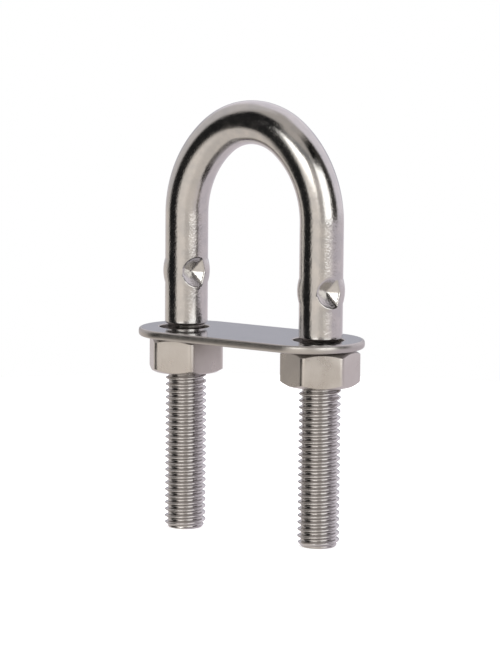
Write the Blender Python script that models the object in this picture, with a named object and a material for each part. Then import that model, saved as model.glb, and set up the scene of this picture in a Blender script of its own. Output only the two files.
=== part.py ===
"""Pad eye: a bent 8 mm bar with two M8 threaded legs, a loose backing plate and two hex nuts.

Metres, +Z up. The origin is on the plate's upper face, midway between the legs. The legs stand at
-X and +X, and the eye is at the top. The four pieces are u_bolt, plate, nut_left and nut_right.
"""

from math import acos, atan, atan2, ceil, cos, exp, floor, pi, radians, sin, sqrt, tan

import bmesh
import bpy

MM = 0.001

# The bent bar
BAR_RADIUS = 4.0 * MM
LEG_SPACING = 30.0 * MM
CROWN_HEIGHT = 38.8 * MM  # centreline of the bar at the top of the eye
CROWN_RADIUS = 12.6 * MM  # centreline radius of the top arc
SHOULDER_RADIUS = 19.0 * MM  # centreline radius of the two side arcs
LEFT_SHANK_END = 0.72 * MM  # where the plain bar stops, just above the plate
RIGHT_SHANK_END = 0.25 * MM
SHANK_ROUND = 0.4 * MM
LEG_END = -38.0 * MM

# The M8 x 1.25 right-hand thread on each leg
PITCH = 1.25 * MM
MAJOR_RADIUS = 3.88 * MM
MINOR_RADIUS = 3.235 * MM
NECK_RADIUS = 3.42 * MM
NECK_END = -0.45 * MM
TIP_RADIUS = 3.1 * MM
ROOT_WIDTH = 0.25  # of a pitch
CREST_PLACE = 0.625  # of a pitch above the lower edge of the root
RUNOUT_STEPS = 10
LEFT_CREST = -0.407 * MM  # height of a crest on the +X side of the left leg
RIGHT_CREST = -0.615 * MM  # the same on the right leg

# The crimped ears
LEFT_EAR_HEIGHT = 10.6 * MM
RIGHT_EAR_HEIGHT = 9.0 * MM
EAR_HALF_HEIGHT = 2.75 * MM
EAR_TURN = radians(-26)
PIT_FLOOR = 1.79 * MM  # from the leg's axis to the deepest point of each pit
PIT_SLOPE_NEAR = 0.50  # how fast a pit's round wall rises on the side of smaller turns
PIT_SLOPE_ALONG = (BAR_RADIUS - PIT_FLOOR) / EAR_HALF_HEIGHT
PIT_ROUNDNESS = 2.4
FACET_SLOPE = 0.98  # how fast the two steep flats opposite that wall rise round the bar
FACET_SLOPE_ALONG = 0.35
LIP_RISE = 0.34 * MM
LIP_ANGLE = radians(58)  # from the middle of a pit to the metal raised behind its flats
LIP_HALF_ANGLE = radians(26)
LIP_HALF_HEIGHT = 2.3 * MM

# The plate
PLATE_WIDTH = 20.0 * MM
PLATE_END_CENTRE = 13.2 * MM  # from the plate's middle to the centre of each round end
PLATE_THICKNESS = 1.5 * MM
PLATE_SHIFT = -0.45 * MM  # the plate lies this far off centre in its loose holes
PLATE_EDGE_ROUND = 0.5 * MM
HOLE_RADIUS = 4.65 * MM
HOLE_EDGE_ROUND = 0.15 * MM
MIDDLE_STRIP = 7.0 * MM  # half the length of the plain strip between the nuts

# The M8 hex nuts
NUT_ACROSS_FLATS = 12.95 * MM
NUT_HEIGHT = 6.5 * MM
NUT_GAP = 0.3 * MM  # between the plate and each nut
NUT_CORNER_ROUND = 1.1 * MM
NUT_FACE_RADIUS = 6.05 * MM
NUT_CHAMFER = radians(30)
NUT_BORE_RADIUS = 4.12 * MM
NUT_MOUTH_RADIUS = 4.45 * MM
LEFT_NUT_TURN = radians(13.5)
RIGHT_NUT_TURN = radians(37.1)

# How finely round shapes are divided
BAR_SIDES = 16
ARC_STEPS = 10
EAR_STEPS = 12
HOLE_SIDES = 32
NUT_SIDES = 48


def clear_scene():
    for old in list(bpy.data.objects):
        bpy.data.objects.remove(old, do_unlink=True)


def steel(name, colour, roughness):
    material = bpy.data.materials.new(name)
    material.use_nodes = True
    shader = material.node_tree.nodes["Principled BSDF"]
    shader.inputs["Base Color"].default_value = (*colour, 1.0)
    shader.inputs["Metallic"].default_value = 1.0
    shader.inputs["Roughness"].default_value = roughness
    return material


def make_object(name, bm, material):
    """Closes off a bmesh as a smooth-shaded object with crisp edges where it turns sharply."""
    bmesh.ops.remove_doubles(bm, verts=bm.verts, dist=1e-6)
    bmesh.ops.recalc_face_normals(bm, faces=bm.faces)
    mesh = bpy.data.meshes.new(name)
    bm.to_mesh(mesh)
    bm.free()
    mesh.materials.append(material)
    mesh.shade_smooth()
    mesh.set_sharp_from_angle(angle=radians(35))
    part = bpy.data.objects.new(name, mesh)
    bpy.context.scene.collection.objects.link(part)
    return part


def join_loops(bm, first, second):
    """A closed band of quads between two loops of vertices of the same length."""
    count = len(first)
    for i in range(count):
        following = (i + 1) % count
        bm.faces.new((first[i], first[following], second[following], second[i]))


# ---------------------------------------------------------------- the bent bar


def centreline():
    """Points (x, z) and outward normals of the eye, from the left leg's shoulder to the right one's."""
    side_x = LEG_SPACING / 2 - SHOULDER_RADIUS
    turn = acos((SHOULDER_RADIUS - LEG_SPACING / 2) / (SHOULDER_RADIUS - CROWN_RADIUS))
    crown_z = CROWN_HEIGHT - CROWN_RADIUS
    shoulder_z = crown_z - (SHOULDER_RADIUS - CROWN_RADIUS) * sin(turn)
    right = []
    for i in range(ARC_STEPS):
        angle = turn * i / ARC_STEPS
        x = side_x + SHOULDER_RADIUS * cos(angle)
        right.append((x, shoulder_z + SHOULDER_RADIUS * sin(angle), angle))
    for i in range(ARC_STEPS + 1):
        angle = turn + (pi / 2 - turn) * i / ARC_STEPS
        right.append((CROWN_RADIUS * cos(angle), crown_z + CROWN_RADIUS * sin(angle), angle))
    left = [(-x, z, pi - angle) for x, z, angle in right[:-1]]
    return left + right[::-1]


def wrapped(angle):
    return (angle + pi) % (2 * pi) - pi


def pit_reach(across, rise):
    """How far from the leg's axis a pit's surface is met, at a turn across the pit and a height above its middle."""
    low = 0.5 * PIT_FLOOR
    high = 3 * BAR_RADIUS
    for _ in range(24):
        reach = (low + high) / 2
        aside = reach * sin(across)
        near = abs(PIT_SLOPE_NEAR * aside) ** PIT_ROUNDNESS + abs(PIT_SLOPE_ALONG * rise) ** PIT_ROUNDNESS
        flat = FACET_SLOPE * aside + FACET_SLOPE_ALONG * abs(rise)
        if reach * cos(across) < PIT_FLOOR + max(near ** (1 / PIT_ROUNDNESS), flat):
            low = reach
        else:
            high = reach
    return high


def ear_radius(theta, rise):
    """The bar's radius at a turn theta about its own axis and a height above the crimp's middle."""
    radius = BAR_RADIUS
    pits = []
    for centre in (EAR_TURN, EAR_TURN + pi):
        across = wrapped(theta - centre)
        lip = LIP_RISE * max(1 - (rise / LIP_HALF_HEIGHT) ** 2, 0.0)
        radius += lip * exp(-((wrapped(across - LIP_ANGLE) / LIP_HALF_ANGLE) ** 2))
        pits.append(pit_reach(across, rise))
    return min([radius, *pits])


def leg_heights(shank_end, ear_height):
    """(height, how the radius is found) for each ring of a leg, from the shank's end upwards."""
    rings = []
    for i in range(4):
        angle = i / 3 * pi / 2
        inset = SHANK_ROUND * (1 - sin(angle))
        rings.append((shank_end + SHANK_ROUND * (1 - cos(angle)), BAR_RADIUS - inset))
    reach = 1.3 * EAR_HALF_HEIGHT
    for i in range(EAR_STEPS + 1):
        rings.append((ear_height - reach + 2 * reach * i / EAR_STEPS, None))
    return rings


def leg_rings(bm, side, shank_end, ear_height):
    """Rings of the plain leg at x = side * LEG_SPACING / 2, with vertex k at the turn 2 pi k / BAR_SIDES."""
    rings = []
    for height, radius in leg_heights(shank_end, ear_height):
        ring = []
        for k in range(BAR_SIDES):
            theta = 2 * pi * k / BAR_SIDES
            r = ear_radius(theta, height - ear_height) if radius is None else radius
            ring.append(bm.verts.new((side * LEG_SPACING / 2 + r * cos(theta), r * sin(theta), height)))
        rings.append(ring)
    return rings


def mirrored_turn(ring):
    """The same ring with its vertices in the order of turns pi - theta."""
    return [ring[(BAR_SIDES // 2 - k) % BAR_SIDES] for k in range(BAR_SIDES)]


def bent_bar(bm):
    """The plain bar from the left shank's end over the eye to the right one's. Returns both end rings."""
    left = leg_rings(bm, -1, LEFT_SHANK_END, LEFT_EAR_HEIGHT)
    right = leg_rings(bm, 1, RIGHT_SHANK_END, RIGHT_EAR_HEIGHT)
    loops = [mirrored_turn(ring) for ring in left]
    for x, z, angle in centreline():
        ring = []
        for k in range(BAR_SIDES):
            turn = 2 * pi * k / BAR_SIDES
            out = BAR_RADIUS * cos(turn)
            ring.append(bm.verts.new((x + out * cos(angle), BAR_RADIUS * sin(turn), z + out * sin(angle))))
        loops.append(ring)
    loops += right[::-1]
    for first, second in zip(loops, loops[1:]):
        join_loops(bm, first, second)
    return left[0], right[0]


# ---------------------------------------------------------------- the thread


def crest_reach(step, last):
    """How much of the thread's height stands at a step, so that it rises and runs out at its ends."""
    from_end = min(step, last - step)
    return max(0.05, min(1.0, from_end / RUNOUT_STEPS))


def thread(bm, side, crest_height, neck):
    """Cuts a right-hand thread below the neck ring and closes the leg with a chamfered tip.

    Three strands climb the leg: the lower edge of the root, its upper edge, and the crest. Each
    turn's crest joins the next turn's lower root edge.
    """
    axis_x = side * LEG_SPACING / 2
    step_rise = PITCH / BAR_SIDES
    lowest = LEG_END + 0.15 * MM
    root_height = crest_height - CREST_PLACE * PITCH
    start = ceil((lowest - root_height) / step_rise)
    last = floor((NECK_END - 0.2 * MM - root_height) / step_rise) - BAR_SIDES - start

    def point(step, lift, radius):
        theta = 2 * pi * (start + step) / BAR_SIDES
        height = root_height + (start + step) * step_rise + lift * PITCH
        return bm.verts.new((axis_x + radius * cos(theta), radius * sin(theta), height))

    depth = MAJOR_RADIUS - MINOR_RADIUS
    lower = [point(i, 0, MINOR_RADIUS) for i in range(last + BAR_SIDES + 1)]
    upper = [point(i, ROOT_WIDTH, MINOR_RADIUS) for i in range(last + 1)]
    crest = []
    for i in range(last + 1):
        crest.append(point(i, CREST_PLACE, MINOR_RADIUS + depth * crest_reach(i, last)))
    for i in range(last):
        bm.faces.new((lower[i], lower[i + 1], upper[i + 1], upper[i]))
        bm.faces.new((upper[i], upper[i + 1], crest[i + 1], crest[i]))
        bm.faces.new((crest[i], crest[i + 1], lower[i + 1 + BAR_SIDES], lower[i + BAR_SIDES]))

    def ring_at(height, radius, first_step):
        ring = []
        for k in range(BAR_SIDES):
            theta = 2 * pi * (start + first_step + k) / BAR_SIDES
            ring.append(bm.verts.new((axis_x + radius * cos(theta), radius * sin(theta), height)))
        return ring

    def close_end(ring, first):
        """Joins a ring to the turn of the lower root edge that begins at a step."""
        for k in range(BAR_SIDES):
            following = ring[(k + 1) % BAR_SIDES]
            bm.faces.new((ring[k], following, lower[first + k + 1], lower[first + k]))
        wall = (lower[first], upper[first], crest[first], lower[first + BAR_SIDES])
        for a, b in zip(wall, wall[1:]):
            bm.faces.new((ring[0], a, b))

    tip = ring_at(LEG_END, TIP_RADIUS, 0)
    close_end(tip, 0)
    bm.faces.new(tip)
    top = ring_at(NECK_END, NECK_RADIUS, last)
    close_end(top, last)
    shift = (start + last) % BAR_SIDES
    upper_ring = [bm.verts.new((v.co.x, v.co.y, neck[0].co.z)) for v in top]
    join_loops(bm, top, upper_ring)
    join_loops(bm, upper_ring, neck[shift:] + neck[:shift])


def make_u_bolt():
    bm = bmesh.new()
    left_end, right_end = bent_bar(bm)
    thread(bm, -1, LEFT_CREST, left_end)
    thread(bm, 1, RIGHT_CREST, right_end)
    return make_object("u_bolt", bm, steel("polished_bar_steel", (0.62, 0.60, 0.57), 0.12))


# ---------------------------------------------------------------- the plate


def end_cell_edge(angle, inset):
    """Where a ray from the right hole's centre leaves that end of the plate, drawn in by an inset."""
    hole_x = LEG_SPACING / 2
    half_width = PLATE_WIDTH / 2 - inset
    dx = cos(angle)
    dy = sin(angle)
    reaches = []
    if dx < 0:
        reaches.append((MIDDLE_STRIP - hole_x) / dx)
    if dy:
        reaches.append(half_width / abs(dy))
    off = hole_x - PLATE_END_CENTRE
    along = off * dx
    to_arc = -along + sqrt(along**2 - off**2 + half_width**2)
    if hole_x + to_arc * dx > PLATE_END_CENTRE:
        reaches.append(to_arc)
    reach = min(reaches)
    return hole_x + reach * dx, reach * dy


def cell_angles():
    """Turns about the right hole: even ones, with the cell's two inner corners among them."""
    corner = atan2(PLATE_WIDTH / 2, MIDDLE_STRIP - LEG_SPACING / 2)
    spacing = 2 * pi / HOLE_SIDES
    even = [-pi + spacing * (k + 0.5) for k in range(HOLE_SIDES)]
    kept = [a for a in even if abs(abs(a) - corner) > 0.45 * spacing]
    return sorted(kept + [-corner, corner])


def rim_profile():
    """(inset, height) from the upper face round the plate's outer edge to the lower face."""
    steps = 3
    quarter = []
    for i in range(steps + 1):
        turn = i / steps * pi / 2
        quarter.append((PLATE_EDGE_ROUND * (1 - sin(turn)), PLATE_EDGE_ROUND * (cos(turn) - 1)))
    lower = [(inset, -PLATE_THICKNESS - height) for inset, height in reversed(quarter)]
    return quarter + lower


def hole_profile():
    """(how much wider than the hole, height) from the lower face up the hole's wall."""
    return [
        (HOLE_EDGE_ROUND, -PLATE_THICKNESS),
        (0, HOLE_EDGE_ROUND - PLATE_THICKNESS),
        (0, -HOLE_EDGE_ROUND),
        (HOLE_EDGE_ROUND, 0),
    ]


def cell_edge(angle, inset, corner):
    """The cell's edge point, which slides along the middle strip's end at the two inner corners."""
    if abs(abs(angle) - corner) > 1e-9:
        return end_cell_edge(angle, inset)
    return MIDDLE_STRIP, (PLATE_WIDTH / 2 - inset) * (1 if angle > 0 else -1)


def plate_end(bm, side):
    """One end of the plate round its hole. Returns its upper and lower strip edges and its rim."""
    angles = cell_angles()
    corner = atan2(PLATE_WIDTH / 2, MIDDLE_STRIP - LEG_SPACING / 2)
    low = angles.index(-corner)
    high = angles.index(corner)

    def vertex(x, y, height):
        return bm.verts.new((side * x + PLATE_SHIFT, y, height))

    def edge_loop(turns, inset, height):
        return [vertex(*cell_edge(angle, inset, corner), height) for angle in turns]

    walls = []
    for wider, height in hole_profile():
        radius = HOLE_RADIUS + wider
        walls.append([vertex(LEG_SPACING / 2 + radius * cos(a), radius * sin(a), height) for a in angles])
    for first, second in zip(walls, walls[1:]):
        join_loops(bm, first, second)
    profile = rim_profile()
    upper = edge_loop(angles, *profile[0])
    lower = edge_loop(angles, *profile[-1])
    join_loops(bm, walls[-1], upper)
    join_loops(bm, lower, walls[0])
    rim = [edge_loop(angles[low : high + 1], inset, height) for inset, height in profile[1:-1]]
    rim = [upper[low : high + 1], *rim, lower[low : high + 1]]
    for first, second in zip(rim, rim[1:]):
        for i in range(high - low):
            bm.faces.new((first[i], first[i + 1], second[i + 1], second[i]))
    return upper[high:] + upper[: low + 1], lower[high:] + lower[: low + 1], rim


def plate_middle(bm, left, right):
    """The plain strip between the two ends, with its two faces and its two rounded edges."""
    for left_edge, right_edge in zip(left[:2], right[:2]):
        for i in range(len(left_edge) - 1):
            bm.faces.new((left_edge[i], left_edge[i + 1], right_edge[i + 1], right_edge[i]))
    for end in (0, -1):
        left_rim = [level[end] for level in left[2]]
        right_rim = [level[end] for level in right[2]]
        for i in range(len(left_rim) - 1):
            bm.faces.new((left_rim[i], left_rim[i + 1], right_rim[i + 1], right_rim[i]))


def make_plate():
    bm = bmesh.new()
    left = plate_end(bm, -1)
    right = plate_end(bm, 1)
    plate_middle(bm, left, right)
    return make_object("plate", bm, steel("mirror_plate_steel", (0.60, 0.60, 0.61), 0.1))


# ---------------------------------------------------------------- the nuts


def hexagon_radius(theta):
    """The outline of a hexagon with rounded corners, whose first corner is at a turn of zero."""
    flat = NUT_ACROSS_FLATS / 2
    from_flat = abs((theta % (pi / 3)) - pi / 6)
    inner = flat - NUT_CORNER_ROUND
    if from_flat <= atan(inner * tan(pi / 6) / flat):
        return flat / cos(from_flat)
    corner = inner / cos(pi / 6)
    to_corner = pi / 6 - from_flat
    return corner * cos(to_corner) + sqrt(NUT_CORNER_ROUND**2 - (corner * sin(to_corner)) ** 2)


def nut_mesh_levels(theta):
    """(radius, height) round a nut's section at a turn: lower face, outside, upper face, bore."""
    outline = hexagon_radius(theta)
    drop = (outline - NUT_FACE_RADIUS) * tan(NUT_CHAMFER)
    mouth = NUT_MOUTH_RADIUS - NUT_BORE_RADIUS
    return [
        (NUT_MOUTH_RADIUS, 0),
        (NUT_FACE_RADIUS, 0),
        (outline, drop),
        (outline, NUT_HEIGHT - drop),
        (NUT_FACE_RADIUS, NUT_HEIGHT),
        (NUT_MOUTH_RADIUS, NUT_HEIGHT),
        (NUT_BORE_RADIUS, NUT_HEIGHT - mouth),
        (NUT_BORE_RADIUS, mouth),
    ]


def make_nut(name, side, turn, material):
    """A nut whose own origin is on its leg's axis, at the nut's lower face."""
    bm = bmesh.new()
    columns = []
    for k in range(NUT_SIDES):
        theta = 2 * pi * k / NUT_SIDES
        column = []
        for radius, height in nut_mesh_levels(theta):
            column.append(bm.verts.new((radius * cos(theta), radius * sin(theta), height)))
        columns.append(column)
    for k in range(NUT_SIDES):
        join_loops(bm, columns[k], columns[(k + 1) % NUT_SIDES])
    nut = make_object(name, bm, material)
    upper_face = -PLATE_THICKNESS - NUT_GAP
    nut.location = (side * LEG_SPACING / 2, 0, upper_face - NUT_HEIGHT)
    nut.rotation_euler = (0, 0, turn)
    return nut


def main():
    clear_scene()
    make_u_bolt()
    make_plate()
    nut_steel = steel("satin_nut_steel", (0.55, 0.53, 0.50), 0.3)
    make_nut("nut_left", -1, LEFT_NUT_TURN, nut_steel)
    make_nut("nut_right", 1, RIGHT_NUT_TURN, nut_steel)


main()
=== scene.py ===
"""Looks of the pad eye: a polished bar with rolled threads and crimped ears, a mirror plate and two nuts."""

from math import acos, atan, cos, exp, pi, radians, sin, sqrt, tan

import bmesh
import bpy
import numpy as np
from mathutils import Matrix, Vector


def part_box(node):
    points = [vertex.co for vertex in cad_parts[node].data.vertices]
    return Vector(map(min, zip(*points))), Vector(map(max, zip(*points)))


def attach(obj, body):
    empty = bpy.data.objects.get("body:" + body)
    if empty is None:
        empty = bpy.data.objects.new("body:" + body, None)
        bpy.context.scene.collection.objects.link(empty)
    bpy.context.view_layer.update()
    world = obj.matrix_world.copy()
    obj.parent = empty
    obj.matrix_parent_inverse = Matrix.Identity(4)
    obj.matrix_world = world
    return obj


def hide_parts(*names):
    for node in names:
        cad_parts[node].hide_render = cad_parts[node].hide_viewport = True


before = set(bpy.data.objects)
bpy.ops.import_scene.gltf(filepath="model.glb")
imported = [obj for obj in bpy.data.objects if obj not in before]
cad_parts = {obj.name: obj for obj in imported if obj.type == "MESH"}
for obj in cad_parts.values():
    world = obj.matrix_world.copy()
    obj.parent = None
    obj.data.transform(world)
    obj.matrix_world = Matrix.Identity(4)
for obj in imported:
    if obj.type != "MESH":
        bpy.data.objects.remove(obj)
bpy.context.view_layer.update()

MM = 0.001

# Places taken from the frame
PLATE_LOW, PLATE_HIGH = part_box("plate")
NUT_BOXES = {"left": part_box("nut_left"), "right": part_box("nut_right")}
LEG_X = {side: (low.x + high.x) / 2 for side, (low, high) in NUT_BOXES.items()}
NUT_BOTTOM = NUT_BOXES["left"][0].z
NUT_TOP = NUT_BOXES["left"][1].z
LEG_END, BAR_TOP = (corner.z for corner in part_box("u_bolt"))

# The bent bar. The radii of its crown and shoulders are those of its centreline.
BAR_RADIUS = 4.0 * MM
CROWN_RADIUS = 12.6 * MM
SHOULDER_RADIUS = 19.0 * MM
SHANK_END = {"left": 0.72 * MM, "right": 0.25 * MM}
SHANK_ROUND = 0.4 * MM

# The crimped ears. Each has two pits on opposite sides of the bar: a pit has a round shallow wall on one side
# and two steep flat facets on the other, with the metal pushed up into a lip behind them.
EAR_HEIGHT = {"left": 10.6 * MM, "right": 9.0 * MM}
EAR_TURN = {"left": radians(-25), "right": radians(-27)}
EAR_HALF_HEIGHT = 2.75 * MM
PIT_FLOOR = 1.79 * MM  # from the leg's axis to the deepest point of each pit
PIT_SLOPE_NEAR = 0.50  # of the round wall, going round the bar
PIT_SLOPE_ALONG = (BAR_RADIUS - PIT_FLOOR) / EAR_HALF_HEIGHT
PIT_ROUNDNESS = 2.4  # 1 would make the round wall two flat facets, 2 a cone
FACET_SLOPE = 0.98
FACET_SLOPE_ALONG = 0.35
FACET_BLEND = 0.25 * MM
PIT_EDGE = 0.12 * MM  # how wide the rounding is where a pit meets the bar
PIT_EDGE_FAR = 0.65 * MM  # the same behind the facets
FAR_EDGE_TURN = radians(32)  # from the middle of a pit to the rounded edge behind its facets
FAR_EDGE_HALF = radians(14)
LIP_RISE = 0.34 * MM
LIP_ANGLE = radians(58)  # from the middle of a pit to the metal raised behind its facets
LIP_HALF_ANGLE = radians(26)
LIP_HALF_HEIGHT = 2.3 * MM
RIM_RISE = 0.16 * MM  # of the thin rim round the lower half of a pit
RIM_WIDTH = 0.26 * MM
RIM_REACH = 1.2 * EAR_HALF_HEIGHT
RIM_FADE = EAR_HALF_HEIGHT / 6
CRIMP_REACH = 1.4 * EAR_HALF_HEIGHT  # above and below an ear, where the bar's rings lie close together

# The M8 x 1.25 thread
PITCH = 1.25 * MM
MAJOR_RADIUS = 3.88 * MM
MINOR_RADIUS = 3.235 * MM
NECK_RADIUS = 3.42 * MM
NECK_END = -0.45 * MM
NECK_FLARE = ((0.0, 0.2 * MM), (0.06 * MM, 0.05 * MM), (0.12 * MM, 0.0))  # (wider, below the shank's end)
TIP_RADIUS = 3.15 * MM
TIP_SLOPE = 0.8
TIP_RINGS = (1.0, 0.97, 0.5)  # of the tip's radius
RUNOUT = 1.2 * MM
CREST_HEIGHT = {"left": -0.407 * MM, "right": -0.615 * MM}
CREST_HALF = 0.09  # of a pitch
FLANK = 0.26  # of a pitch
ROUNDING = 0.5  # of a flank, at the crest and at the root

# The plate
PLATE_THICKNESS = PLATE_HIGH.z - PLATE_LOW.z
PLATE_WIDTH = PLATE_HIGH.y - PLATE_LOW.y
PLATE_MIDDLE = (PLATE_LOW.x + PLATE_HIGH.x) / 2
PLATE_END_CENTRE = (PLATE_HIGH.x - PLATE_LOW.x - PLATE_WIDTH) / 2
PLATE_EDGE_ROUND = 0.30 * MM
PLATE_BARREL = 0.16 * MM
HOLE_RADIUS = 4.65 * MM
HOLE_EDGE_ROUND = 0.15 * MM
EDGE_FLAT = 0.15 * MM  # a narrow ring of the face, which keeps its shading flat up to the edge
WALL_STEPS = 6
HOLE_EDGE_STEPS = 4
PLATE_EDGE_STEPS = 7
MIDDLE_STRIP = 7.0 * MM  # half the length of the plain strip between the holes' cells

# The nuts
NUT_TURN = {"left": radians(13.5), "right": radians(37.1)}
NUT_ACROSS_FLATS = 12.95 * MM
NUT_CORNER_ROUND = 1.1 * MM
NUT_FACE_RADIUS = 6.05 * MM
NUT_CHAMFER = radians(30)
NUT_EDGE_ROUND = 0.14 * MM
NUT_MOUTH_RADIUS = 4.4 * MM
NUT_MOUTH_FLAT = 0.12 * MM
THREAD_PLAY = 0.09 * MM

# How far along the bar from its crown the stronger ripples of the legs begin, and where they are complete
ARCH_INNER = 14.0 * MM
ARCH_OUTER = 27.0 * MM

# How deep each steel's unevenness is, and what each kind of it counts for on the bar
BAR_RELIEF = 0.014 * MM
THREAD_RELIEF = 0.010 * MM
PLATE_RELIEF = 0.0015 * MM
EDGE_RELIEF = 0.005 * MM
NUT_RELIEF = 0.022 * MM
RIPPLE_ON_LEGS = 1.9
RIPPLE_ON_ARCH = 0.6
MARK_SHARE = 0.5
PIT_SHARE = 0.45
DRAG_GRAIN_SHARE = 0.4

# How finely round shapes are divided
BAR_SIDES = 144  # twice THREAD_SIDES, so that the shanks' ends can be stitched to the necks
THREAD_SIDES = 72
STRANDS = 11  # lines along the thread in each pitch
SHANK_ROUND_STEPS = 6
CRIMP_STEP = 0.14 * MM  # between the bar's rings at the ears
LEG_STEP = 0.7 * MM  # between its rings elsewhere on the legs
NUT_SIDES = 240
HOLE_SIDES = 96
FLOOR_SIDES = 128
PIT_HALVINGS = 18  # of the range in which each point of a pit's surface is sought

# The floor and the light above it, in metres and watts
FLOOR_RADIUS = 0.2
FLOOR_GAP = 0.05 * MM
FLOOR_GLOW_STRENGTH = 0.7
OVERHEAD_HEIGHT = 1.3
OVERHEAD_SIZE = 1.2
OVERHEAD_POWER = 26.0

# The camera
VIEW_ROUND = radians(34.51)
VIEW_UP = radians(7.665)
VIEW_ROLL = radians(0.497)
VIEW_DISTANCE = 554.0 * MM
VIEW_ASIDE = -0.442 * MM
VIEW_RAISED = 1.462 * MM
LENS = 166.6


# ---------------------------------------------------------------- mesh tools


class Shell:
    """Gathers vertices and faces for one piece. Faces made in a row share a material slot."""

    def __init__(self):
        self.points = []
        self.faces = []
        self.slots = []

    def ring(self, points):
        first = len(self.points)
        self.points.extend(points)
        return list(range(first, len(self.points)))

    def face(self, corners, slot=0):
        self.faces.append(tuple(corners))
        self.slots.append(slot)

    def band(self, first, second, slot=0, closed=True):
        """Joins two rings, or two open rows, of the same length."""
        count = len(first)
        for i in range(count if closed else count - 1):
            following = (i + 1) % count
            self.face((first[i], first[following], second[following], second[i]), slot)

    def stitch(self, coarse, fine, slot=0):
        """Joins a ring to one with twice as many vertices."""
        count = len(coarse)
        for i in range(count):
            following = coarse[(i + 1) % count]
            middle = fine[2 * i + 1]
            last = fine[(2 * i + 2) % len(fine)]
            self.face((coarse[i], middle, fine[2 * i]), slot)
            self.face((coarse[i], following, middle), slot)
            self.face((following, last, middle), slot)

    def build(self, name, materials, sharp_angle=radians(50)):
        """Closes off the piece: joins vertices that coincide and shades it smooth."""
        mesh = bpy.data.meshes.new(name)
        mesh.from_pydata([tuple(p) for p in self.points], [], self.faces)
        mesh.polygons.foreach_set("material_index", self.slots)
        bm = bmesh.new()
        bm.from_mesh(mesh)
        bmesh.ops.remove_doubles(bm, verts=bm.verts, dist=1e-6)
        bmesh.ops.recalc_face_normals(bm, faces=bm.faces)
        bm.to_mesh(mesh)
        bm.free()
        for material in materials:
            mesh.materials.append(material)
        mesh.shade_smooth()
        mesh.set_sharp_from_angle(angle=sharp_angle)
        piece = bpy.data.objects.new(name, mesh)
        bpy.context.scene.collection.objects.link(piece)
        return piece


def circle(x, radius, height, sides):
    turns = [2 * pi * k / sides for k in range(sides)]
    return [(x + radius * cos(turn), radius * sin(turn), height) for turn in turns]


def rounded(corners, radii, steps=4):
    """A polyline whose inner corners are replaced by arcs of the given radii."""
    points = [corners[0]]
    for before, corner, after, radius in zip(corners, corners[1:], corners[2:], radii):
        here = Vector(corner)
        back = (Vector(before) - here).normalized()
        ahead = (Vector(after) - here).normalized()
        half = back.angle(ahead) / 2
        reach = radius / tan(half)
        centre = here + (back + ahead).normalized() * (radius / sin(half))
        start = here + back * reach - centre
        end = here + ahead * reach - centre
        sweep = start.angle(end)
        for i in range(steps + 1):
            share = i / steps
            arm = start * (sin((1 - share) * sweep) / sin(sweep)) + end * (sin(share * sweep) / sin(sweep))
            points.append(tuple(centre + arm))
    points.append(corners[-1])
    return points


def soft_min(first, second, width):
    """The smaller of two values, with a rounding where they are within a width of each other."""
    overlap = np.maximum(width - np.abs(first - second), 0.0) / width
    return np.minimum(first, second) - overlap * overlap * width / 4


def soft_ramp(value, width):
    """Zero below zero and rising evenly above it, with a rounded start."""
    if value <= -width / 2:
        return 0.0
    if value >= width / 2:
        return value
    return (value + width / 2) ** 2 / (2 * width)


def wrapped(angle):
    return (angle + pi) % (2 * pi) - pi


# ---------------------------------------------------------------- the bent bar


CROWN_Z = BAR_TOP - BAR_RADIUS - CROWN_RADIUS
ARC_TURN = acos((SHOULDER_RADIUS - LEG_X["right"]) / (SHOULDER_RADIUS - CROWN_RADIUS))
SHOULDER_Z = CROWN_Z - (SHOULDER_RADIUS - CROWN_RADIUS) * sin(ARC_TURN)
SHOULDER_X = LEG_X["right"] - SHOULDER_RADIUS


def centreline(shoulder_steps=44, crown_steps=28):
    """Points (x, z) and outward angles of the eye from the left shoulder over to the right one."""
    right = []
    for i in range(shoulder_steps):
        angle = ARC_TURN * i / shoulder_steps
        x = SHOULDER_X + SHOULDER_RADIUS * cos(angle)
        right.append((x, SHOULDER_Z + SHOULDER_RADIUS * sin(angle), angle))
    for i in range(crown_steps + 1):
        angle = ARC_TURN + (pi / 2 - ARC_TURN) * i / crown_steps
        right.append((CROWN_RADIUS * cos(angle), CROWN_Z + CROWN_RADIUS * sin(angle), angle))
    left = [(-x, z, pi - angle) for x, z, angle in right[:-1]]
    return left + right[::-1]


def pit_reach(across, rise):
    """How far out from the leg's axis a pit's surface is met, at turns across the pit, found by halving."""
    low = np.full_like(across, 0.5 * PIT_FLOOR)
    high = np.full_like(across, 3 * BAR_RADIUS)
    for _ in range(PIT_HALVINGS):
        middle = (low + high) / 2
        aside = middle * np.sin(across)
        around = np.abs(PIT_SLOPE_NEAR * aside) ** PIT_ROUNDNESS
        along = abs(PIT_SLOPE_ALONG * rise) ** PIT_ROUNDNESS
        near = (around + along) ** (1 / PIT_ROUNDNESS)
        facet = FACET_SLOPE * aside + FACET_SLOPE_ALONG * abs(rise)
        higher = -soft_min(-near, -facet, FACET_BLEND)
        inside = middle * np.cos(across) < PIT_FLOOR + higher
        low = np.where(inside, middle, low)
        high = np.where(inside, high, middle)
    return (low + high) / 2


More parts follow.
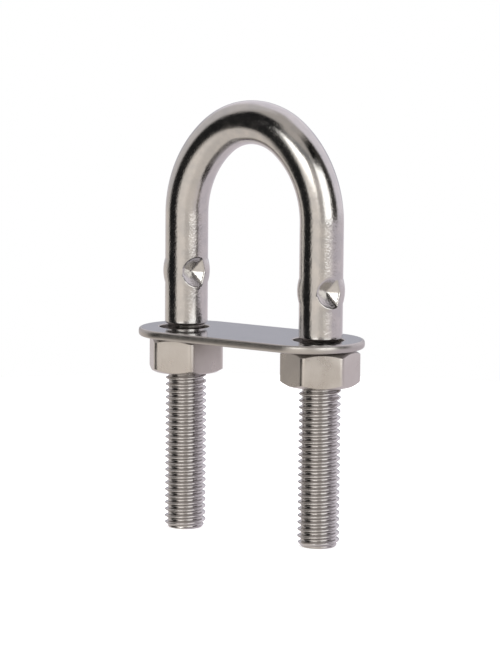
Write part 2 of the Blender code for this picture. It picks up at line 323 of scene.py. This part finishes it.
def ear_radius(theta, rise, side):
    """The bar's radius at turns theta about the leg's own axis, at a height above the crimp's middle."""
    radius = np.full_like(theta, BAR_RADIUS)
    pit = np.full_like(theta, 3 * BAR_RADIUS)
    edge = np.full_like(theta, PIT_EDGE)
    for centre in (EAR_TURN[side], EAR_TURN[side] + pi):
        across = wrapped(theta - centre)
        edge += (PIT_EDGE_FAR - PIT_EDGE) * np.exp(-(((across - FAR_EDGE_TURN) / FAR_EDGE_HALF) ** 2))
        lip = LIP_RISE * max(1 - (rise / LIP_HALF_HEIGHT) ** 2, 0.0)
        radius += lip * np.exp(-((wrapped(across - LIP_ANGLE) / LIP_HALF_ANGLE) ** 2))
        pit = np.minimum(pit, pit_reach(across, rise))
    beyond = np.maximum(pit - BAR_RADIUS, 0.0) / RIM_WIDTH
    if abs(rise) < RIM_REACH:
        lower = 1 / (1 + exp(rise / RIM_FADE))
        radius += RIM_RISE * lower * np.exp(-(beyond**2))
    return soft_min(radius, pit, edge)


def leg_rows(side):
    """(height, radius) for each ring of a leg, from the shank's end upwards. Above the rounded end the radius
    is None, because ear_radius gives it."""
    rows = []
    for i in range(SHANK_ROUND_STEPS + 1):
        angle = i / SHANK_ROUND_STEPS * pi / 2
        height = SHANK_END[side] + SHANK_ROUND * (1 - cos(angle))
        rows.append((height, BAR_RADIUS - SHANK_ROUND * (1 - sin(angle))))
    crimp_low = EAR_HEIGHT[side] - CRIMP_REACH
    crimp_high = EAR_HEIGHT[side] + CRIMP_REACH
    for low, high, step in (
        (rows[-1][0], crimp_low, LEG_STEP),
        (crimp_low, crimp_high, CRIMP_STEP),
        (crimp_high, SHOULDER_Z, LEG_STEP),
    ):
        count = round((high - low) / step)
        rows += [(low + (high - low) * (i + 1) / count, None) for i in range(count)]
    return rows[:-1]


def leg_ring(side, height, radius):
    """One ring of a leg, its vertices in the order that arch_ring gives them."""
    turns = 2 * pi * np.arange(BAR_SIDES) / BAR_SIDES
    theta = turns if side == "right" else pi - turns
    if radius is None:
        radius = ear_radius(theta, height - EAR_HEIGHT[side], side)
    x = LEG_X[side] + radius * np.cos(theta)
    return [(float(a), float(b), height) for a, b in zip(x, radius * np.sin(theta))]


def arch_ring(x, z, angle):
    ring = []
    for k in range(BAR_SIDES):
        turn = 2 * pi * k / BAR_SIDES
        out = BAR_RADIUS * cos(turn)
        ring.append((x + out * cos(angle), BAR_RADIUS * sin(turn), z + out * sin(angle)))
    return ring


def thread_share(from_crest):
    """The thread's height, from 0 at its root to 1 at its crest, at a share of a pitch from a crest."""
    distance = abs((from_crest + 0.5) % 1.0 - 0.5)
    fall = (distance - CREST_HALF) / FLANK
    return 1 - soft_ramp(fall, ROUNDING) + soft_ramp(fall - 1, ROUNDING)


def thread_radius(from_crest):
    return MINOR_RADIUS + (MAJOR_RADIUS - MINOR_RADIUS) * thread_share(from_crest)


def helix(shell, side, low, high, radius_at, slot):
    """A threaded surface between two heights, made of strands that wind up the leg. Past either end a strand
    lies on that end's rim."""
    turns = range(
        int((low - CREST_HEIGHT[side]) / PITCH * THREAD_SIDES) - 2 * THREAD_SIDES,
        int((high - CREST_HEIGHT[side]) / PITCH * THREAD_SIDES) + THREAD_SIDES,
    )
    previous = None
    for step in turns:
        theta = 2 * pi * (step % THREAD_SIDES) / THREAD_SIDES
        row = []
        for strand in range(STRANDS + 1):
            from_crest = strand / STRANDS
            height = CREST_HEIGHT[side] + (step / THREAD_SIDES + from_crest) * PITCH
            height = min(max(height, low), high)
            r = radius_at(from_crest, height)
            row.append((LEG_X[side] + r * cos(theta), r * sin(theta), height))
        indices = shell.ring(row)
        if previous:
            shell.band(previous, indices, slot, closed=False)
        previous = indices


def bolt_thread_radius(from_crest, height):
    chamfer = TIP_RADIUS + TIP_SLOPE * (height - LEG_END)
    runout = min(max((height - NECK_END + RUNOUT) / RUNOUT, 0.0), 1.0)
    blend = runout * runout * (3 - 2 * runout)
    radius = thread_radius(from_crest) * (1 - blend) + NECK_RADIUS * blend
    return min(radius, chamfer)


def leg_thread(shell, side, shank):
    """The thread, the neck above it, the shank's underside and the tip of one leg."""
    helix(shell, side, LEG_END, NECK_END, bolt_thread_radius, 1)
    x = LEG_X[side]
    neck = [(NECK_RADIUS, NECK_END)]
    neck += [(NECK_RADIUS + wider, SHANK_END[side] - below) for wider, below in NECK_FLARE]
    rings = [shell.ring(circle(x, radius, height, THREAD_SIDES)) for radius, height in neck]
    for first, second in zip(rings, rings[1:]):
        shell.band(first, second)
    if side == "left":
        shank = [shank[(BAR_SIDES // 2 - k) % BAR_SIDES] for k in range(BAR_SIDES)]
    shell.stitch(rings[-1], shank)
    tip = [shell.ring(circle(x, TIP_RADIUS * share, LEG_END, THREAD_SIDES)) for share in TIP_RINGS]
    shell.band(tip[0], tip[1], 1)
    shell.band(tip[1], tip[2], 1)
    shell.face(tip[2], 1)


def make_bar():
    """The bar from the left shank's end over the eye to the right one's, with a thread below each."""
    shell = Shell()
    loops = [shell.ring(leg_ring("left", *row)) for row in leg_rows("left")]
    loops += [shell.ring(arch_ring(*point)) for point in centreline()]
    loops += [shell.ring(leg_ring("right", *row)) for row in reversed(leg_rows("right"))]
    for first, second in zip(loops, loops[1:]):
        shell.band(first, second)
    leg_thread(shell, "left", loops[0])
    leg_thread(shell, "right", loops[-1])
    bar = shell.build("bar_body", [polished_bar(), rolled_thread()])
    mark_along_bar(bar)
    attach(bar, "u_bolt")
    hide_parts("u_bolt")
    return bar


def mark_along_bar(bar):
    """Stores where each vertex would lie if the bar were straight, so that its grain follows the bend."""
    mesh = bar.data
    co = np.zeros(len(mesh.vertices) * 3)
    mesh.vertices.foreach_get("co", co)
    x, y, z = co.reshape(-1, 3).T
    aside = np.abs(x)
    shoulder_angle = np.arctan2(z - SHOULDER_Z, aside - SHOULDER_X)
    crown_angle = np.arctan2(z - CROWN_Z, aside)
    shoulder_run = SHOULDER_RADIUS * ARC_TURN
    on_leg = z < SHOULDER_Z
    on_shoulder = ~on_leg & (shoulder_angle < ARC_TURN)
    out = np.hypot(aside, z - CROWN_Z) - CROWN_RADIUS
    out[on_shoulder] = np.hypot(aside - SHOULDER_X, z - SHOULDER_Z)[on_shoulder] - SHOULDER_RADIUS
    out[on_leg] = aside[on_leg] - LEG_X["right"]
    along = SHOULDER_Z + shoulder_run + CROWN_RADIUS * (crown_angle - ARC_TURN)
    along[on_shoulder] = SHOULDER_Z + SHOULDER_RADIUS * shoulder_angle[on_shoulder]
    along[on_leg] = z[on_leg]
    half = SHOULDER_Z + shoulder_run + CROWN_RADIUS * (pi / 2 - ARC_TURN)
    along = (along - half) * np.sign(x + 1e-12)
    place = mesh.attributes.new("straight", "FLOAT_VECTOR", "POINT")
    place.data.foreach_set("vector", np.stack([out, y, along], 1).astype(np.float32).ravel())


# ---------------------------------------------------------------- the plate


def cell_edge(angle, inset):
    """Where a ray from the right hole's centre leaves that end of the plate, drawn in by an inset."""
    hole_x = LEG_X["right"]
    half_width = PLATE_WIDTH / 2 - inset
    dx = cos(angle)
    dy = sin(angle)
    corner = corner_angle()
    if abs(abs(angle) - corner) < 1e-9:
        return MIDDLE_STRIP, half_width * (1 if angle > 0 else -1)
    reaches = []
    if dx < 0:
        reaches.append((MIDDLE_STRIP - hole_x) / dx)
    if dy:
        reaches.append(half_width / abs(dy))
    off = hole_x - PLATE_END_CENTRE
    along = off * dx
    to_arc = -along + sqrt(along**2 - off**2 + half_width**2)
    if hole_x + to_arc * dx > PLATE_END_CENTRE:
        reaches.append(to_arc)
    reach = min(reaches)
    return hole_x + reach * dx, reach * dy


def corner_angle():
    return pi - atan(PLATE_WIDTH / 2 / (LEG_X["right"] - MIDDLE_STRIP))


def cell_angles():
    """Turns about the right hole: even ones, with the cell's two inner corners among them."""
    corner = corner_angle()
    spacing = 2 * pi / HOLE_SIDES
    even = [-pi + spacing * (k + 0.5) for k in range(HOLE_SIDES)]
    kept = [a for a in even if abs(abs(a) - corner) > 0.45 * spacing]
    return sorted(kept + [-corner, corner])


def edge_profile(radius, steps, barrel=0.0):
    """(inset, height) of an edge from the upper face to the lower one: a thin flat, a rounded corner, a wall
    that swells by the barrel's amount at its middle, a second corner and a second flat."""
    quarter = [(radius + EDGE_FLAT, 0.0)]
    for i in range(steps + 1):
        turn = i / steps * pi / 2
        quarter.append((radius * (1 - sin(turn)), radius * (cos(turn) - 1)))
    lower = [(inset, -PLATE_THICKNESS - height) for inset, height in reversed(quarter)]
    start, end = quarter[-1][1], lower[0][1]
    wall = [(0.0, start + (end - start) * i / WALL_STEPS) for i in range(1, WALL_STEPS)]
    profile = []
    for inset, height in quarter + wall + lower:
        from_middle = 1 + 2 * height / PLATE_THICKNESS
        profile.append((inset + barrel * from_middle**2, height))
    return profile


def plate_end(shell, side):
    """One end of the plate round its hole. Returns its upper and lower strip edges and its rim."""
    angles = cell_angles()
    low = angles.index(-corner_angle())
    high = angles.index(corner_angle())

    def vertex(x, y, height):
        return (side * x + PLATE_MIDDLE, y, height)

    walls = []
    for wider, height in edge_profile(HOLE_EDGE_ROUND, HOLE_EDGE_STEPS):
        radius = HOLE_RADIUS + wider
        points = [vertex(LEG_X["right"] + radius * cos(a), radius * sin(a), height) for a in angles]
        walls.append(shell.ring(points))
    for first, second in zip(walls, walls[1:]):
        shell.band(first, second, 1)
    loops = []
    for inset, height in edge_profile(PLATE_EDGE_ROUND, PLATE_EDGE_STEPS, PLATE_BARREL):
        loops.append(shell.ring([vertex(*cell_edge(a, inset), height) for a in angles]))
    shell.band(walls[0], loops[0], 0)
    shell.band(loops[-1], walls[-1], 0)
    outer = angles[low : high + 1]
    for level, (first, second) in enumerate(zip(loops, loops[1:])):
        on_face = level in (0, len(loops) - 2)
        for i in range(len(outer) - 1):
            a, b = low + i, low + i + 1
            shell.face((first[a], first[b], second[b], second[a]), 0 if on_face else 1)
    upper = loops[0][high:] + loops[0][: low + 1]
    lower = loops[-1][high:] + loops[-1][: low + 1]
    ends = [[loop[low] for loop in loops], [loop[high] for loop in loops]]
    return upper, lower, ends


def make_plate():
    shell = Shell()
    left = plate_end(shell, -1)
    right = plate_end(shell, 1)
    for left_edge, right_edge in zip(left[:2], right[:2]):
        shell.band(left_edge, right_edge, 0, closed=False)
    for left_rim, right_rim in zip(left[2], right[2]):
        for level in range(len(left_rim) - 1):
            on_face = level in (0, len(left_rim) - 2)
            corners = (left_rim[level], left_rim[level + 1], right_rim[level + 1], right_rim[level])
            shell.face(corners, 0 if on_face else 1)
    plate = shell.build("plate_body", [mirror_plate(), cut_edge()])
    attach(plate, "plate")
    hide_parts("plate")
    return plate


# ---------------------------------------------------------------- the nuts


def hexagon_radius(theta):
    flat = NUT_ACROSS_FLATS / 2
    from_flat = abs((theta % (pi / 3)) - pi / 6)
    inner = flat - NUT_CORNER_ROUND
    if from_flat <= atan(inner * tan(pi / 6) / flat):
        return flat / cos(from_flat)
    corner = inner / cos(pi / 6)
    to_corner = pi / 6 - from_flat
    return corner * cos(to_corner) + sqrt(NUT_CORNER_ROUND**2 - (corner * sin(to_corner)) ** 2)


def nut_section(theta):
    """(radius, height) down the outside of a nut at a turn, from the upper mouth to the lower one."""
    outline = hexagon_radius(theta)
    drop = (outline - NUT_FACE_RADIUS) * tan(NUT_CHAMFER)
    corners = [
        (NUT_MOUTH_RADIUS + NUT_MOUTH_FLAT, NUT_TOP),
        (NUT_FACE_RADIUS, NUT_TOP),
        (outline, NUT_TOP - drop),
        (outline, NUT_BOTTOM + drop),
        (NUT_FACE_RADIUS, NUT_BOTTOM),
        (NUT_MOUTH_RADIUS + NUT_MOUTH_FLAT, NUT_BOTTOM),
    ]
    section = rounded(corners, [NUT_EDGE_ROUND] * 4)
    flat_start = len(section) // 2
    middle = [(outline, (section[flat_start - 1][1] + section[flat_start][1]) / 2)]
    return section[:flat_start] + middle + section[flat_start:]


def nut_thread_radius(from_crest, height):
    depth = min(NUT_TOP - height, height - NUT_BOTTOM)
    return max(thread_radius(from_crest) + THREAD_PLAY, NUT_MOUTH_RADIUS - depth)


def make_nut(side):
    name = f"nut_{side}"
    shell = Shell()
    turn = NUT_TURN[side]
    columns = [nut_section(2 * pi * k / NUT_SIDES - turn) for k in range(NUT_SIDES)]
    rings = []
    for level in range(len(columns[0])):
        ring = []
        for k, column in enumerate(columns):
            theta = 2 * pi * k / NUT_SIDES
            radius, height = column[level]
            ring.append((LEG_X[side] + radius * cos(theta), radius * sin(theta), height))
        rings.append(shell.ring(ring))
    for first, second in zip(rings, rings[1:]):
        shell.band(first, second)
    helix(shell, side, NUT_BOTTOM, NUT_TOP, nut_thread_radius, 0)
    for height, outer in ((NUT_TOP, rings[0]), (NUT_BOTTOM, rings[-1])):
        mouth = shell.ring(circle(LEG_X[side], NUT_MOUTH_RADIUS, height, THREAD_SIDES))
        bridge(shell, mouth, outer)
    nut = shell.build(f"{name}_body", [satin_nut()])
    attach(nut, name)
    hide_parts(name)
    return nut


def bridge(shell, inner, outer):
    """Joins two rings of different vertex counts that both start at a turn of zero."""
    i = j = 0
    while i < len(inner) or j < len(outer):
        a = inner[i % len(inner)]
        b = outer[j % len(outer)]
        if j >= len(outer) or (i < len(inner) and (i + 1) / len(inner) < (j + 1) / len(outer)):
            shell.face((a, inner[(i + 1) % len(inner)], b))
            i += 1
        else:
            shell.face((a, outer[(j + 1) % len(outer)], b))
            j += 1


# ---------------------------------------------------------------- materials


class Nodes:
    """Adds nodes to a tree and links them in one call each."""

    def __init__(self, tree):
        self.tree = tree
        self.tree.nodes.clear()

    def add(self, kind, inputs=None, **settings):
        node = self.tree.nodes.new(kind)
        for key, value in settings.items():
            setattr(node, key, value)
        for key, value in (inputs or {}).items():
            if isinstance(value, bpy.types.NodeSocket):
                self.link(value, node.inputs[key])
            else:
                node.inputs[key].default_value = value
        return node

    def math(self, operation, *values):
        return self.add("ShaderNodeMath", dict(enumerate(values)), operation=operation).outputs[0]

    def link(self, start, end):
        self.tree.links.new(start, end)

    def noise(self, place, scale, detail):
        """Noise between 0 and 1, with about as many features in a metre as its scale."""
        node = self.add("ShaderNodeTexNoise", {"Vector": place, "Scale": scale, "Detail": detail})
        return node.outputs["Fac"]

    def spread(self, value, low, high, to_low, to_high):
        """Stretches the range from low to high over the range from to_low to to_high, and holds its ends."""
        inputs = {"Value": value, "From Min": low, "From Max": high, "To Min": to_low, "To Max": to_high}
        return self.add("ShaderNodeMapRange", inputs).outputs["Result"]

    def fade(self, value, inner, outer):
        """One up to the inner value, falling smoothly to zero at the outer one."""
        inputs = {"Value": value, "From Min": inner, "From Max": outer, "To Min": 1.0, "To Max": 0.0}
        return self.add("ShaderNodeMapRange", inputs, interpolation_type="SMOOTHSTEP").outputs["Result"]

    def blend(self, share, first, second):
        """The first colour where the share is zero, the second where it is one."""
        node = self.add("ShaderNodeMix", data_type="RGBA")
        for socket, value in ((node.inputs[0], share), (node.inputs[6], first), (node.inputs[7], second)):
            if isinstance(value, bpy.types.NodeSocket):
                self.link(value, socket)
            elif isinstance(value, tuple):
                socket.default_value = (*value, 1.0)
            else:
                socket.default_value = value
        return node.outputs[2]

    def bump(self, height, depth):
        return self.add("ShaderNodeBump", {"Height": height, "Distance": depth}).outputs["Normal"]


def steel(name, colour, roughness):
    """A bare steel material to build on: its node helper and its shader."""
    material = bpy.data.materials.new(name)
    material.use_nodes = True
    nodes = Nodes(material.node_tree)
    shader = nodes.add("ShaderNodeBsdfPrincipled", {"Metallic": 1.0, "Roughness": roughness})
    shader.inputs["Base Color"].default_value = (*colour, 1.0)
    out = nodes.add("ShaderNodeOutputMaterial")
    nodes.link(shader.outputs[0], out.inputs[0])
    return material, nodes, shader


def polished_bar():
    """Polished bar: fine marks along its length, with ripples, small pits and smears that break up what it
    mirrors. The ripples are weaker on the arch than on the legs."""
    material, nodes, shader = steel("polished_bar_steel", (0.53, 0.515, 0.50), 0.16)
    place = nodes.add("ShaderNodeAttribute", attribute_name="straight").outputs["Vector"]
    lengthwise = nodes.add("ShaderNodeMapping", {"Vector": place, "Scale": (1.0, 1.0, 0.06)}).outputs[0]
    marks = nodes.noise(lengthwise, 9000.0, 3.0)
    smears = nodes.noise(place, 450.0, 2.0)
    ripple = nodes.noise(place, 2600.0, 2.0)
    pits = nodes.spread(nodes.noise(place, 3600.0, 1.0), 0.60, 0.72, 0.0, 1.0)
    roughness = nodes.spread(nodes.math("MULTIPLY", marks, smears), 0.12, 0.36, 0.085, 0.19)
    nodes.link(roughness, shader.inputs["Roughness"])
    smeared = nodes.spread(smears, 0.35, 0.65, 0.0, 1.0)
    nodes.link(nodes.blend(smeared, (0.50, 0.49, 0.48), (0.56, 0.54, 0.52)), shader.inputs["Base Color"])
    from_crown = nodes.math("ABSOLUTE", nodes.add("ShaderNodeSeparateXYZ", {"Vector": place}).outputs["Z"])
    on_arch = nodes.fade(from_crown, ARCH_INNER, ARCH_OUTER)
    ripple_share = nodes.math("MULTIPLY_ADD", on_arch, RIPPLE_ON_ARCH - RIPPLE_ON_LEGS, RIPPLE_ON_LEGS)
    ripple = nodes.math("MULTIPLY", ripple, ripple_share)
    raised = nodes.math("ADD", ripple, nodes.math("MULTIPLY", marks, MARK_SHARE))
    height = nodes.math("MULTIPLY_ADD", pits, -PIT_SHARE, raised)
    nodes.link(nodes.bump(height, BAR_RELIEF), shader.inputs["Normal"])
    return material


def rolled_thread():
    """Rolled thread: crests a little brighter than roots through a shade painted into the roots' base colour,
    and fine drag marks that run round with it.
    """
    material, nodes, shader = steel("rolled_thread_steel", (0.50, 0.485, 0.48), 0.17)
    place = nodes.add("ShaderNodeAttribute", attribute_name="straight").outputs["Vector"]
    around = nodes.add("ShaderNodeMapping", {"Vector": place, "Scale": (0.12, 0.12, 1.0)}).outputs[0]
    drag = nodes.noise(around, 9000.0, 2.0)
    grain = nodes.noise(place, 3500.0, 2.0)
    smears = nodes.noise(place, 500.0, 2.0)
    nodes.link(nodes.spread(smears, 0.3, 0.7, 0.13, 0.22), shader.inputs["Roughness"])
    across = nodes.add("ShaderNodeMapping", {"Vector": place, "Scale": (1.0, 1.0, 0.0)}).outputs[0]
    radius = nodes.add("ShaderNodeVectorMath", {0: across}, operation="LENGTH").outputs["Value"]
    # Painted shade: the base colour darkens from the crest down into the root, where shade falls between the
    # turns of the thread.
    out_of_root_shade = nodes.spread(radius, MINOR_RADIUS, MAJOR_RADIUS, 0.0, 1.0)
    share = nodes.math("MULTIPLY_ADD", smears, 0.3, nodes.math("SUBTRACT", out_of_root_shade, 0.15))
    nodes.link(nodes.blend(share, (0.46, 0.445, 0.44), (0.54, 0.525, 0.52)), shader.inputs["Base Color"])
    height = nodes.math("MULTIPLY_ADD", grain, DRAG_GRAIN_SHARE, drag)
    nodes.link(nodes.bump(height, THREAD_RELIEF), shader.inputs["Normal"])
    return material


def mirror_plate():
    """Mirror-polished plate faces, with very shallow lengthwise scratches and a faint haze."""
    material, nodes, shader = steel("mirror_plate_steel", (0.52, 0.515, 0.52), 0.08)
    place = nodes.add("ShaderNodeTexCoord").outputs["Object"]
    lengthwise = nodes.add("ShaderNodeMapping", {"Vector": place, "Scale": (0.08, 1.0, 1.0)}).outputs[0]
    scratches = nodes.noise(lengthwise, 5000.0, 2.0)
    haze = nodes.noise(place, 260.0, 2.0)
    nodes.link(nodes.spread(haze, 0.3, 0.7, 0.06, 0.14), shader.inputs["Roughness"])
    nodes.link(nodes.bump(scratches, PLATE_RELIEF), shader.inputs["Normal"])
    return material


def cut_edge():
    """The plate's cut rim and its holes' walls: duller, with an upright grain."""
    material, nodes, shader = steel("cut_plate_edge_steel", (0.46, 0.44, 0.42), 0.3)
    place = nodes.add("ShaderNodeTexCoord").outputs["Object"]
    upright = nodes.add("ShaderNodeMapping", {"Vector": place, "Scale": (1.0, 1.0, 0.3)}).outputs[0]
    grain = nodes.noise(upright, 3500.0, 3.0)
    nodes.link(nodes.spread(grain, 0.3, 0.7, 0.28, 0.42), shader.inputs["Roughness"])
    nodes.link(nodes.bump(grain, EDGE_RELIEF), shader.inputs["Normal"])
    return material


def satin_nut():
    """Satin nuts: an even fine grain over slightly uneven steel."""
    material, nodes, shader = steel("satin_nut_steel", (0.54, 0.51, 0.48), 0.3)
    place = nodes.add("ShaderNodeTexCoord").outputs["Object"]
    grain = nodes.noise(place, 3000.0, 3.0)
    smears = nodes.noise(place, 300.0, 2.0)
    nodes.link(nodes.spread(smears, 0.3, 0.7, 0.24, 0.38), shader.inputs["Roughness"])
    smeared = nodes.spread(smears, 0.3, 0.7, 0.0, 1.0)
    nodes.link(nodes.blend(smeared, (0.50, 0.47, 0.44), (0.57, 0.54, 0.51)), shader.inputs["Base Color"])
    nodes.link(nodes.bump(grain, NUT_RELIEF), shader.inputs["Normal"])
    return material


# ---------------------------------------------------------------- stage, light and camera


def make_floor():
    """A pale round floor under the leg tips. The steel mirrors the studio's floor instead of this disc."""
    mesh = bpy.data.meshes.new("floor")
    rim = circle(0.0, FLOOR_RADIUS, LEG_END - FLOOR_GAP, FLOOR_SIDES)
    mesh.from_pydata(rim, [], [tuple(range(FLOOR_SIDES))])
    floor = bpy.data.objects.new("floor", mesh)
    bpy.context.scene.collection.objects.link(floor)
    material = bpy.data.materials.new("floor_white")
    material.use_nodes = True
    nodes = Nodes(material.node_tree)
    look = {
        "Base Color": (0.7, 0.7, 0.7, 1.0),
        "Roughness": 0.9,
        "Emission Color": (1.0, 1.0, 1.0, 1.0),
        "Emission Strength": FLOOR_GLOW_STRENGTH,
    }
    shader = nodes.add("ShaderNodeBsdfPrincipled", look)
    out = nodes.add("ShaderNodeOutputMaterial")
    nodes.link(shader.outputs[0], out.inputs[0])
    mesh.materials.append(material)
    floor.visible_glossy = False


def make_overhead_light():
    """A wide soft light above, which lights the floor and is kept out of the steel's reflections."""
    data = bpy.data.lights.new("overhead", "AREA")
    data.shape = "DISK"
    data.size = OVERHEAD_SIZE
    data.energy = OVERHEAD_POWER
    light = bpy.data.objects.new("overhead", data)
    light.location = (0.0, 0.0, OVERHEAD_HEIGHT)
    light.visible_glossy = False
    light.visible_camera = False
    bpy.context.scene.collection.objects.link(light)


def make_camera():
    """A camera at VIEW_ROUND about the object, starting from its front, and VIEW_UP above its level."""
    back = Vector((sin(VIEW_ROUND) * cos(VIEW_UP), -cos(VIEW_ROUND) * cos(VIEW_UP), sin(VIEW_UP)))
    right = Vector((cos(VIEW_ROUND), sin(VIEW_ROUND), 0.0))
    up = back.cross(right)
    rolled_right = right * cos(VIEW_ROLL) + up * sin(VIEW_ROLL)
    rolled_up = up * cos(VIEW_ROLL) - right * sin(VIEW_ROLL)
    data = bpy.data.cameras.new("camera")
    data.lens = LENS
    data.clip_start = 0.01
    data.clip_end = 20.0
    camera = bpy.data.objects.new("camera", data)
    place = Matrix((rolled_right, rolled_up, back)).transposed().to_4x4()
    place.translation = right * VIEW_ASIDE + up * VIEW_RAISED + back * VIEW_DISTANCE
    camera.matrix_world = place
    bpy.context.scene.collection.objects.link(camera)
    bpy.context.scene.camera = camera


# The studio round the object: a pale tent with two bright openings towards the camera's side, and dark gaps
# beside and above them. Each patch is (turn, half width, height, half height, lean, softness, radiance), in
# degrees about the object, turn 0 being +X; the later ones lie over the earlier ones.
TENT = (0.60, 0.56, 0.53)
FLOOR_LEFT = (0.86, 0.80, 0.74)
FLOOR_RIGHT = (0.82, 0.76, 0.82)
RIGHT_WALL = (100, 66, 34, 40, 0.0, 10, (1.06, 1.01, 1.09))
BACK_WALL = (176, 30, 40, 48, 0.0, 16, (0.76, 0.73, 0.73))
REAR_GAP = (124, 28, 6, 9, 0.0, 6, (0.50, 0.50, 0.55))
UPPER_GAP = (0, 32, 49, 13, 0.0, 7, (0.0, 0.0, 0.0))
RIGHT_GAP = (19, 16, 26, 28, 0.0, 7, (0.06, 0.055, 0.05))
MIDDLE_BAND = (-78, 42, 38, 5, 0.0, 5, (0.28, 0.28, 0.28))
LEFT_OPENING = (-89, 20, 13, 15, 0.0, 3, (4.2, 4.15, 4.0))
RIGHT_OPENING = (-21, 19, 16, 20, 0.0, 3, (2.4, 2.4, 2.35))
FLOOR_GLOW = (-88, 22, -12, 26, 0.0, 10, (1.06, 0.99, 0.92))
LEFT_GAP = (-128, 26, 17, 40, 0.4, 8, (0.02, 0.02, 0.02))
ROUND_THE_WALLS = (
    RIGHT_WALL, BACK_WALL, REAR_GAP, UPPER_GAP, RIGHT_GAP, MIDDLE_BAND, LEFT_OPENING, RIGHT_OPENING
)
OVER_THE_FLOOR = (FLOOR_GLOW, LEFT_GAP)
FLOOR_RIGHT_TURN = 70.0
FLOOR_RIGHT_FADE = (50.0, 110.0)  # how far round from there the right floor's colour fades into the left's
HORIZON_FADE = (-5.0, -1.0)


def patch(nodes, below, turn, height, shape):
    """Lays one soft-edged rectangle of light or dark over what the world holds so far."""
    turn_at, half_turn, height_at, half_height, lean, soft, radiance = shape
    rise = nodes.math("SUBTRACT", height, height_at)
    leaning = nodes.math("MULTIPLY_ADD", rise, -lean, turn)
    off_centre = nodes.math("SUBTRACT", leaning, turn_at)
    aside = nodes.math("ABSOLUTE", nodes.math("WRAP", off_centre, 180.0, -180.0))
    masks = []
    for distance, half in ((aside, half_turn), (nodes.math("ABSOLUTE", rise), half_height)):
        masks.append(nodes.fade(distance, half - soft, half + soft))
    return nodes.blend(nodes.math("MULTIPLY", *masks), below, radiance)


def make_world():
    """The studio as what surrounds the object. The camera sees it as plain white."""
    world = bpy.data.worlds.new("studio")
    world.use_nodes = True
    nodes = Nodes(world.node_tree)
    direction = nodes.add("ShaderNodeTexCoord").outputs["Generated"]
    x, y, z = nodes.add("ShaderNodeSeparateXYZ", {"Vector": direction}).outputs
    turn = nodes.math("DEGREES", nodes.math("ARCTAN2", y, x))
    height = nodes.math("DEGREES", nodes.math("ARCSINE", z))
    light = TENT
    for shape in ROUND_THE_WALLS:
        light = patch(nodes, light, turn, height, shape)
    from_right = nodes.math("ABSOLUTE", nodes.math("SUBTRACT", turn, FLOOR_RIGHT_TURN))
    floor = nodes.blend(nodes.fade(from_right, *FLOOR_RIGHT_FADE), FLOOR_LEFT, FLOOR_RIGHT)
    light = nodes.blend(nodes.fade(height, *HORIZON_FADE), light, floor)
    for shape in OVER_THE_FLOOR:
        light = patch(nodes, light, turn, height, shape)
    seen = nodes.add("ShaderNodeBackground", {"Color": (1.0, 1.0, 1.0, 1.0)})
    lit = nodes.add("ShaderNodeBackground", {"Color": light})
    camera_ray = nodes.add("ShaderNodeLightPath").outputs["Is Camera Ray"]
    mixed = nodes.add("ShaderNodeMixShader", {0: camera_ray, 1: lit.outputs[0], 2: seen.outputs[0]})
    out = nodes.add("ShaderNodeOutputWorld")
    nodes.link(mixed.outputs[0], out.inputs[0])
    bpy.context.scene.world = world


make_bar()
make_plate()
make_nut("left")
make_nut("right")
make_floor()
make_overhead_light()
make_camera()
make_world()
bpy.context.scene.view_settings.view_transform = "Standard"
